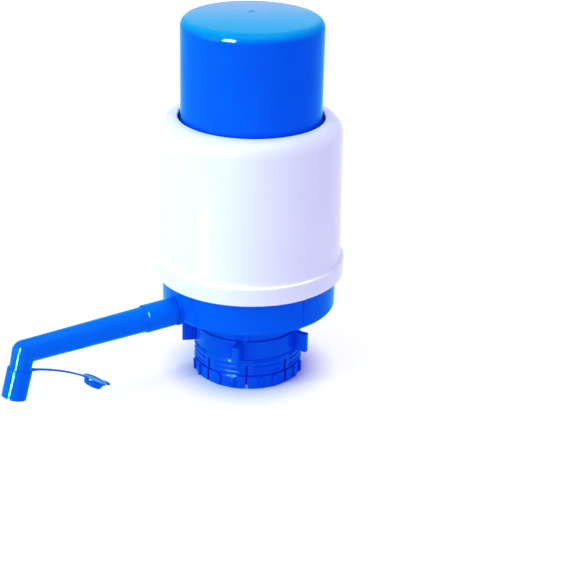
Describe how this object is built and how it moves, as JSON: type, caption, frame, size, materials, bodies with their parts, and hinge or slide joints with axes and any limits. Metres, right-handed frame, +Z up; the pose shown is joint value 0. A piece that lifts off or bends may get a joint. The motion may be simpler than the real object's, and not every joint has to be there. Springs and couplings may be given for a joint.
{
  "type": "water jug hand pump",
  "caption": "Manual press pump for a large water bottle: sliding press cap over a bell housing, drum base with a turning spout and stoppered nozzle, and a winged collet collar.",
  "frame": {"origin": "on the pump axis, at the foot of the collet where the bottle neck enters", "axes": "+Z up the pump axis towards the press cap, -X out along the spout"},
  "size_m": [0.2051, 0.105, 0.2034],
  "materials": {
    "blue_plastic": "glossy moulded",
    "white_plastic": "glossy moulded",
    "blue_soft": "soft moulded",
    "black_rubber": "satin",
    "milky_rubber": "satin",
    "steel": "bright"
  },
  "bodies": {
    "pump_body": {"base_body": "blue_plastic", "pipe_bush": "blue_plastic", "floor_posts": "blue_plastic", "neck_tube": "blue_plastic", "bell_housing": "white_plastic", "pump_floor": "white_plastic", "bellows_clamp_ring": "white_plastic", "floor_screws": "steel", "bellows": "milky_rubber", "return_spring": "steel", "water_elbow": "blue_plastic", "neck_gasket": "milky_rubber", "spout_oring": "black_rubber"},
    "press_head": {"press_cap": "blue_plastic", "bellows_plate": "white_plastic", "hub_screw": "steel", "stop_washer": "black_rubber"},
    "inlet_flap": {"inlet_valve": "black_rubber"},
    "outlet_flap": {"outlet_valve": "black_rubber"},
    "spout": {"spout_arm": "blue_plastic", "nozzle_sleeve": "blue_soft", "strap_root": "blue_soft"},
    "stopper": {"spout_plug": "blue_soft", "strap_tail": "blue_soft"},
    "wing_ring": {"lock_ring": "blue_plastic"},
    "collet_body": {"collet": "blue_plastic"}
  },
  "joints": [
    {"name": "press_slide", "type": "slide", "parent": "pump_body", "child": "press_head", "axis": [0, 0, -1], "range_m": [0, 0.045], "stiffness_N_per_m": 380, "springref_m": -0.021, "deforming": ["bellows", "return_spring"]},
    {"name": "spout_turn", "type": "hinge", "parent": "pump_body", "child": "spout", "pos_m": [-0.06, 0, 0.0463], "axis": [-1, 0, 0], "continuous": true},
    {"name": "plug_swing", "type": "hinge", "parent": "spout", "child": "stopper", "pos_m": [-0.12252, 0, 0.02293], "axis": [0, 1, 0], "range_deg": [0, 165.3], "stiffness_Nm_per_rad": 0.005},
    {"name": "lock_turn", "type": "hinge", "parent": "pump_body", "child": "wing_ring", "pos_m": [0, 0, 0.0232], "axis": [0, 0, 1], "range_deg": [0, 270]},
    {"name": "collet_slide", "type": "slide", "parent": "pump_body", "child": "collet_body", "axis": [0, 0, -1], "range_m": [0, 0.0026]},
    {"name": "inlet_lift", "type": "slide", "parent": "press_head", "child": "inlet_flap", "axis": [0, 0, -1], "range_m": [0, 0.001], "stiffness_N_per_m": 8, "springref_m": -0.001},
    {"name": "outlet_lift", "type": "slide", "parent": "pump_body", "child": "outlet_flap", "axis": [0, 0, -1], "range_m": [0, 0.001], "stiffness_N_per_m": 8, "springref_m": -0.001}
  ],
  "couplings": [
    {"joint": "collet_slide", "follows": "lock_turn", "m_per_rad": 0.000551}
  ]
}
